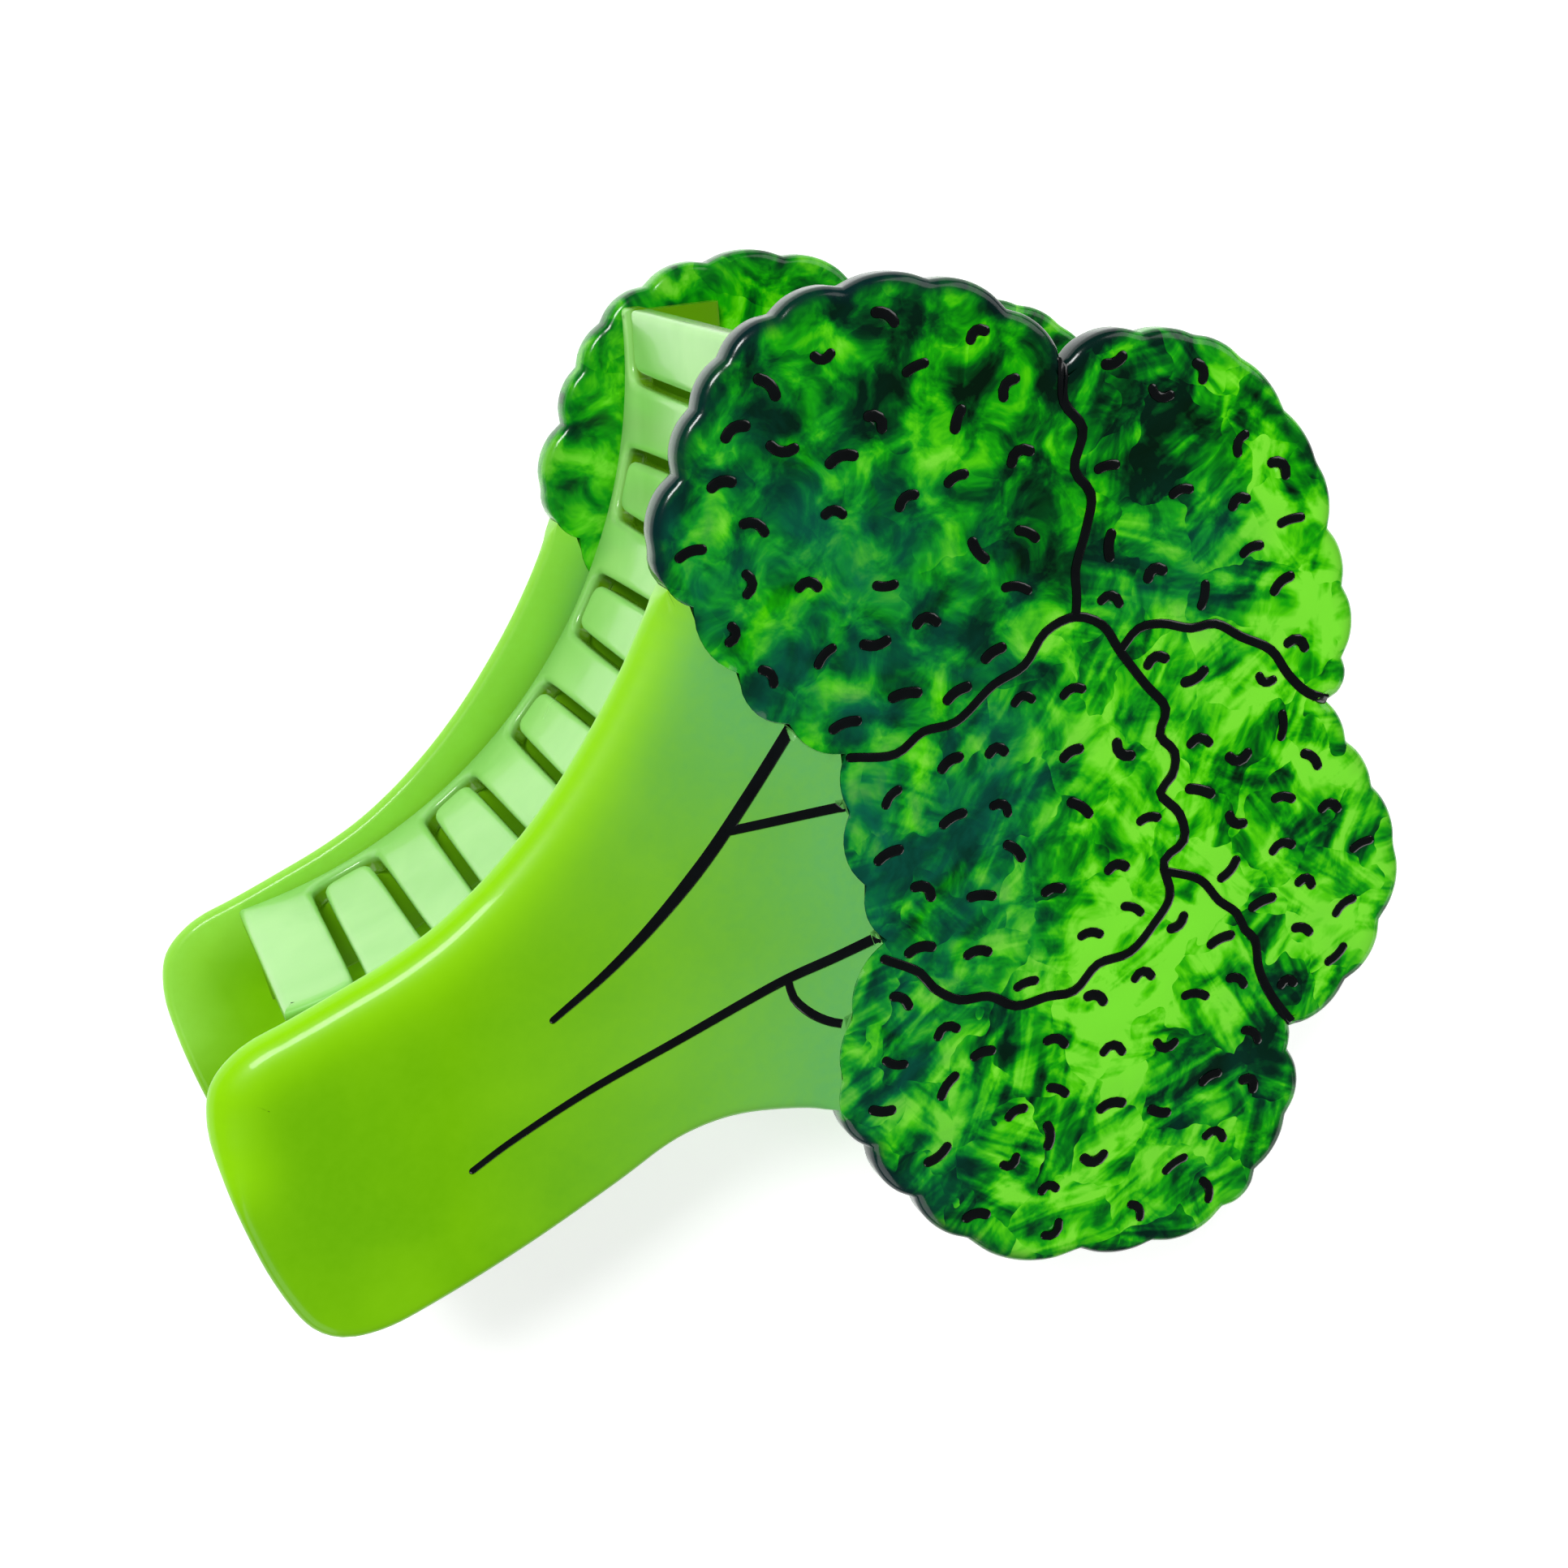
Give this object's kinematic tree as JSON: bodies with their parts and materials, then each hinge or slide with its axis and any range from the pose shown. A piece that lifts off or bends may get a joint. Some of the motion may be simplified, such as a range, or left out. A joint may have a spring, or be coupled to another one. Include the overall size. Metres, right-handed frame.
{
  "type": "hair claw clip",
  "caption": "Spring claw clip for hair: two flat jaws in the outline of a broccoli floret, with interlocking comb teeth along one edge and a sprung hinge between them.",
  "frame": {"origin": "middle of the bounding box at the lower jaw's outer face, which lies on the table", "axes": "+X along the hinge pin, from the stem's end to the crown; +Y towards the comb teeth; +Z through both jaws, up"},
  "size_m": [0.0992, 0.0784, 0.0363],
  "materials": {
    "stem_acetate": "polished lime acetate",
    "crown_acetate": "polished marbled green acetate",
    "comb_acetate": "polished lime acetate",
    "black_lacquer": "gloss black lacquer",
    "leaf_steel": "satin",
    "spring_steel": "drawn wire"
  },
  "bodies": {
    "lower_jaw": {"lower_stem_plate": "stem_acetate", "lower_crown_plate": "crown_acetate", "lower_comb": "comb_acetate", "lower_hinge_leaf": "leaf_steel", "lower_rivet_1": "leaf_steel", "lower_rivet_2": "leaf_steel", "lower_floret_seams": "black_lacquer", "lower_long_vein": "black_lacquer", "lower_short_vein": "black_lacquer", "hinge_pin": "spring_steel", "torsion_spring": "spring_steel"},
    "upper_jaw": {"upper_stem_plate": "stem_acetate", "upper_crown_plate": "crown_acetate", "upper_comb": "comb_acetate", "upper_hinge_leaf": "leaf_steel", "upper_rivet_1": "leaf_steel", "upper_rivet_2": "leaf_steel", "upper_floret_seams": "black_lacquer", "upper_long_vein": "black_lacquer", "upper_short_vein": "black_lacquer"}
  },
  "joints": [
    {"name": "jaw_hinge", "type": "hinge", "parent": "lower_jaw", "child": "upper_jaw", "pos_m": [0.00964, -0.00605, 0.01815], "axis": [1, 0, 0], "range_deg": [0, 40], "stiffness_Nm_per_rad": 0.2, "springref_deg": -34.38, "deforming": ["torsion_spring"]}
  ]
}
